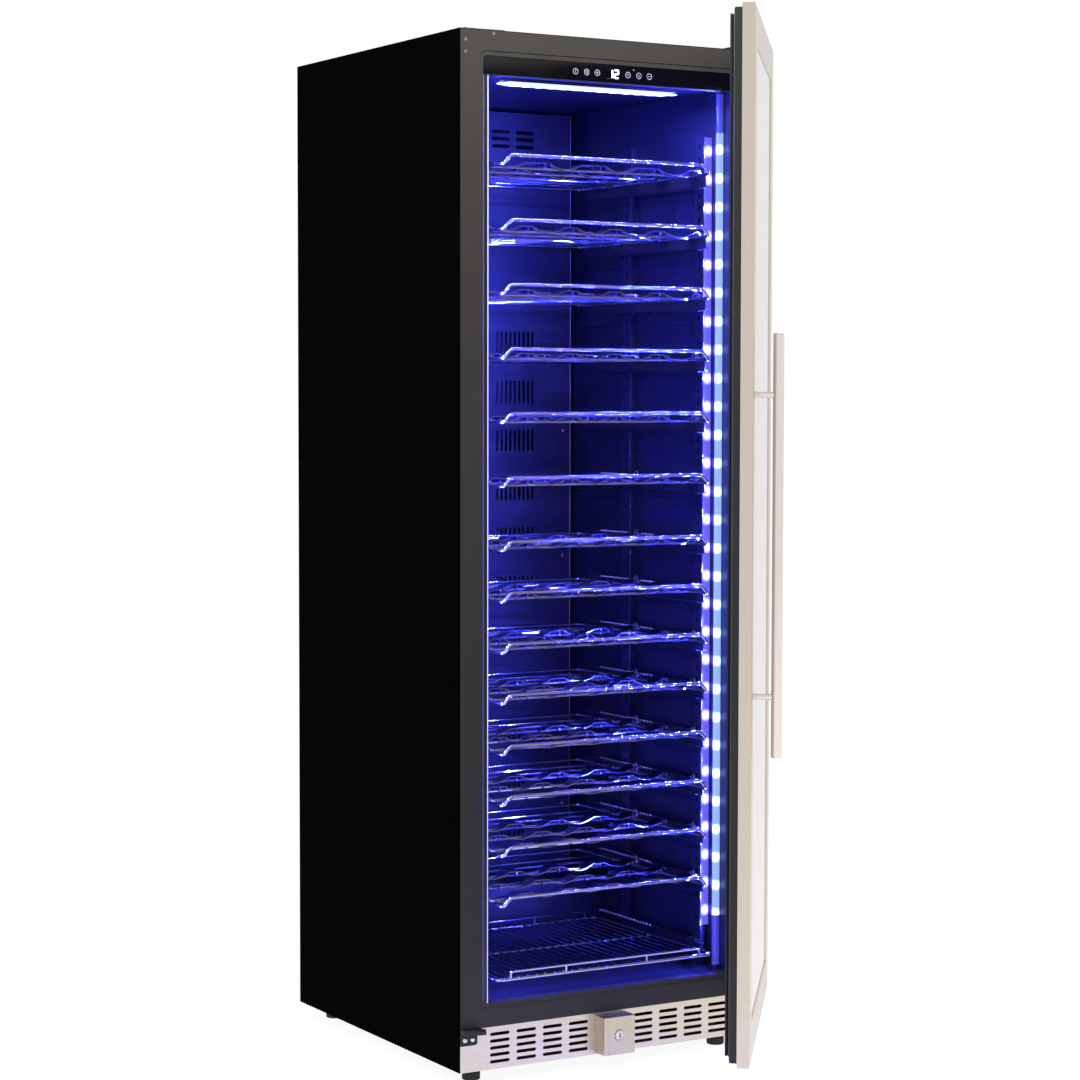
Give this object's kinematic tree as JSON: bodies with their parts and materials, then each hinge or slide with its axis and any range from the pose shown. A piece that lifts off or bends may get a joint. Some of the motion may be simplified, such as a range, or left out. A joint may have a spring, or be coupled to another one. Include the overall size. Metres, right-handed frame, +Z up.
{
  "type": "wine cooler",
  "caption": "Tall upright wine cooler with a hinged glass door, sliding wavy wire shelves, lit interior, touch panel, slotted kick plate with lock, levelling feet and compressor cooling.",
  "frame": {"origin": "on the floor, under the middle of the cabinet without its door", "axes": "+X to the right seen from the front, +Y to the cabinet's back, +Z up"},
  "size_m": [0.6115, 1.1114, 1.76],
  "materials": {
    "black_paint": "satin black powder paint",
    "grey_frame_paint": "satin dark grey paint",
    "zinc_sheet": "zinc-coated steel sheet",
    "black_liner": "vacuum-formed black plastic",
    "foam": "rigid polyurethane foam",
    "brushed_stainless": "brushed stainless steel",
    "lock_steel": "nickel-plated steel",
    "black_hinge_paint": "satin black paint",
    "black_gloss_panel": "polished black panel",
    "display": "lit display",
    "lamp": "lit diffuser",
    "clear_tube": "clear plastic tube",
    "led_strip": "light strip",
    "pilaster_steel": "dark plated steel",
    "chromed_wire": "chrome-plated steel",
    "finned_aluminium": "rolled fins",
    "fan_plastic": "moulded plastic",
    "motor_paint": "motor can and bracket",
    "compressor_paint": "black enamel",
    "tray_plastic": "moulded plastic",
    "inlet_plastic": "moulded plastic",
    "foot_plastic": "moulded plastic",
    "door_glass": "tinted safety glass",
    "spacer_aluminium": "black anodised spacer",
    "inner_frame_plastic": "black moulded frame",
    "gasket_rubber": "soft magnetic seal"
  },
  "bodies": {
    "cabinet": {"left_side_panel": "black_paint", "right_side_panel": "black_paint", "top_panel": "black_paint", "front_frame": "grey_frame_paint", "back_panel": "zinc_sheet", "base_plate": "zinc_sheet", "rear_grille": "zinc_sheet", "inner_liner": "black_liner", "duct_panel": "black_liner", "insulation_foam": "foam", "kick_plate": "brushed_stainless", "lock_housing": "brushed_stainless", "spare_hinge_bracket": "black_hinge_paint", "lower_hinge": "black_hinge_paint", "upper_hinge": "black_hinge_paint", "control_panel": "black_gloss_panel", "display_window": "display", "top_lamp": "lamp", "led_tubes": "clear_tube", "led_strips": "led_strip", "pilasters": "pilaster_steel", "shelf_runners": "pilaster_steel", "evaporator": "finned_aluminium", "condenser": "finned_aluminium", "fan_motors": "motor_paint", "compressor": "compressor_paint", "drip_tray": "tray_plastic", "mains_inlet": "inlet_plastic"},
    "door": {"door_frame": "brushed_stainless", "outer_glass": "door_glass", "glass_spacer": "spacer_aluminium", "inner_glass": "door_glass", "door_inner_frame": "inner_frame_plastic", "door_gasket": "gasket_rubber", "hinge_bushes": "inlet_plastic", "handle_posts": "brushed_stainless", "handle_bar": "brushed_stainless"},
    "lock_cylinder": {"lock_cylinder": "lock_steel"},
    "lock_bolt": {"lock_bolt": "lock_steel"},
    "evaporator_fan": {"evaporator_fan": "fan_plastic"},
    "condenser_fan": {"condenser_fan": "fan_plastic"},
    "foot_front_left": {"foot_front_left": "foot_plastic"},
    "foot_front_right": {"foot_front_right": "foot_plastic"},
    "foot_rear_left": {"foot_rear_left": "foot_plastic"},
    "foot_rear_right": {"foot_rear_right": "foot_plastic"},
    "shelf_01": {"shelf_01": "chromed_wire"},
    "shelf_02": {"shelf_02": "chromed_wire"},
    "shelf_03": {"shelf_03": "chromed_wire"},
    "shelf_04": {"shelf_04": "chromed_wire"},
    "shelf_05": {"shelf_05": "chromed_wire"},
    "shelf_06": {"shelf_06": "chromed_wire"},
    "shelf_07": {"shelf_07": "chromed_wire"},
    "shelf_08": {"shelf_08": "chromed_wire"},
    "shelf_09": {"shelf_09": "chromed_wire"},
    "shelf_10": {"shelf_10": "chromed_wire"},
    "shelf_11": {"shelf_11": "chromed_wire"},
    "shelf_12": {"shelf_12": "chromed_wire"},
    "shelf_13": {"shelf_13": "chromed_wire"},
    "shelf_14": {"shelf_14": "chromed_wire"},
    "bottom_shelf": {"bottom_shelf": "chromed_wire"}
  },
  "joints": [
    {"name": "door_hinge", "type": "hinge", "parent": "cabinet", "child": "door", "pos_m": [0.2865, -0.32375, 0.933], "axis": [0, 0, 1], "range_deg": [-52, 43]},
    {"name": "lock_turn", "type": "hinge", "parent": "cabinet", "child": "lock_cylinder", "pos_m": [0, -0.338, 0.06], "axis": [0, 1, 0], "range_deg": [0, 180]},
    {"name": "bolt_lift", "type": "slide", "parent": "cabinet", "child": "lock_bolt", "axis": [0, 0, 1], "range_m": [0, 0.042]},
    {"name": "evaporator_fan_spin", "type": "hinge", "parent": "cabinet", "child": "evaporator_fan", "pos_m": [0, 0.2475, 1.331], "axis": [0, -1, 0], "continuous": true},
    {"name": "condenser_fan_spin", "type": "hinge", "parent": "cabinet", "child": "condenser_fan", "pos_m": [-0.118, 0.2265, 0.102], "axis": [-1, 0, 0], "continuous": true},
    {"name": "foot_front_left_turn", "type": "hinge", "parent": "cabinet", "child": "foot_front_left", "pos_m": [-0.2495, -0.262, 0], "axis": [0, 0, 1], "continuous": true},
    {"name": "foot_front_right_turn", "type": "hinge", "parent": "cabinet", "child": "foot_front_right", "pos_m": [0.2495, -0.262, 0], "axis": [0, 0, 1], "continuous": true},
    {"name": "foot_rear_left_turn", "type": "hinge", "parent": "cabinet", "child": "foot_rear_left", "pos_m": [-0.2495, 0.262, 0], "axis": [0, 0, 1], "continuous": true},
    {"name": "foot_rear_right_turn", "type": "hinge", "parent": "cabinet", "child": "foot_rear_right", "pos_m": [0.2495, 0.262, 0], "axis": [0, 0, 1], "continuous": true},
    {"name": "shelf_01_slide", "type": "slide", "parent": "cabinet", "child": "shelf_01", "axis": [0, -1, 0], "range_m": [0, 0.1]},
    {"name": "shelf_02_slide", "type": "slide", "parent": "cabinet", "child": "shelf_02", "axis": [0, -1, 0], "range_m": [0, 0.1]},
    {"name": "shelf_03_slide", "type": "slide", "parent": "cabinet", "child": "shelf_03", "axis": [0, -1, 0], "range_m": [0, 0.1]},
    {"name": "shelf_04_slide", "type": "slide", "parent": "cabinet", "child": "shelf_04", "axis": [0, -1, 0], "range_m": [0, 0.1]},
    {"name": "shelf_05_slide", "type": "slide", "parent": "cabinet", "child": "shelf_05", "axis": [0, -1, 0], "range_m": [0, 0.1]},
    {"name": "shelf_06_slide", "type": "slide", "parent": "cabinet", "child": "shelf_06", "axis": [0, -1, 0], "range_m": [0, 0.1]},
    {"name": "shelf_07_slide", "type": "slide", "parent": "cabinet", "child": "shelf_07", "axis": [0, -1, 0], "range_m": [0, 0.1]},
    {"name": "shelf_08_slide", "type": "slide", "parent": "cabinet", "child": "shelf_08", "axis": [0, -1, 0], "range_m": [0, 0.1]},
    {"name": "shelf_09_slide", "type": "slide", "parent": "cabinet", "child": "shelf_09", "axis": [0, -1, 0], "range_m": [0, 0.1]},
    {"name": "shelf_10_slide", "type": "slide", "parent": "cabinet", "child": "shelf_10", "axis": [0, -1, 0], "range_m": [0, 0.1]},
    {"name": "shelf_11_slide", "type": "slide", "parent": "cabinet", "child": "shelf_11", "axis": [0, -1, 0], "range_m": [0, 0.1]},
    {"name": "shelf_12_slide", "type": "slide", "parent": "cabinet", "child": "shelf_12", "axis": [0, -1, 0], "range_m": [0, 0.1]},
    {"name": "shelf_13_slide", "type": "slide", "parent": "cabinet", "child": "shelf_13", "axis": [0, -1, 0], "range_m": [0, 0.1]},
    {"name": "shelf_14_slide", "type": "slide", "parent": "cabinet", "child": "shelf_14", "axis": [0, -1, 0], "range_m": [0, 0.1]},
    {"name": "bottom_shelf_slide", "type": "slide", "parent": "cabinet", "child": "bottom_shelf", "axis": [0, -1, 0], "range_m": [0, 0.1]}
  ],
  "couplings": [
    {"joint": "bolt_lift", "follows": "lock_turn", "m_per_rad": 0.013369}
  ]
}
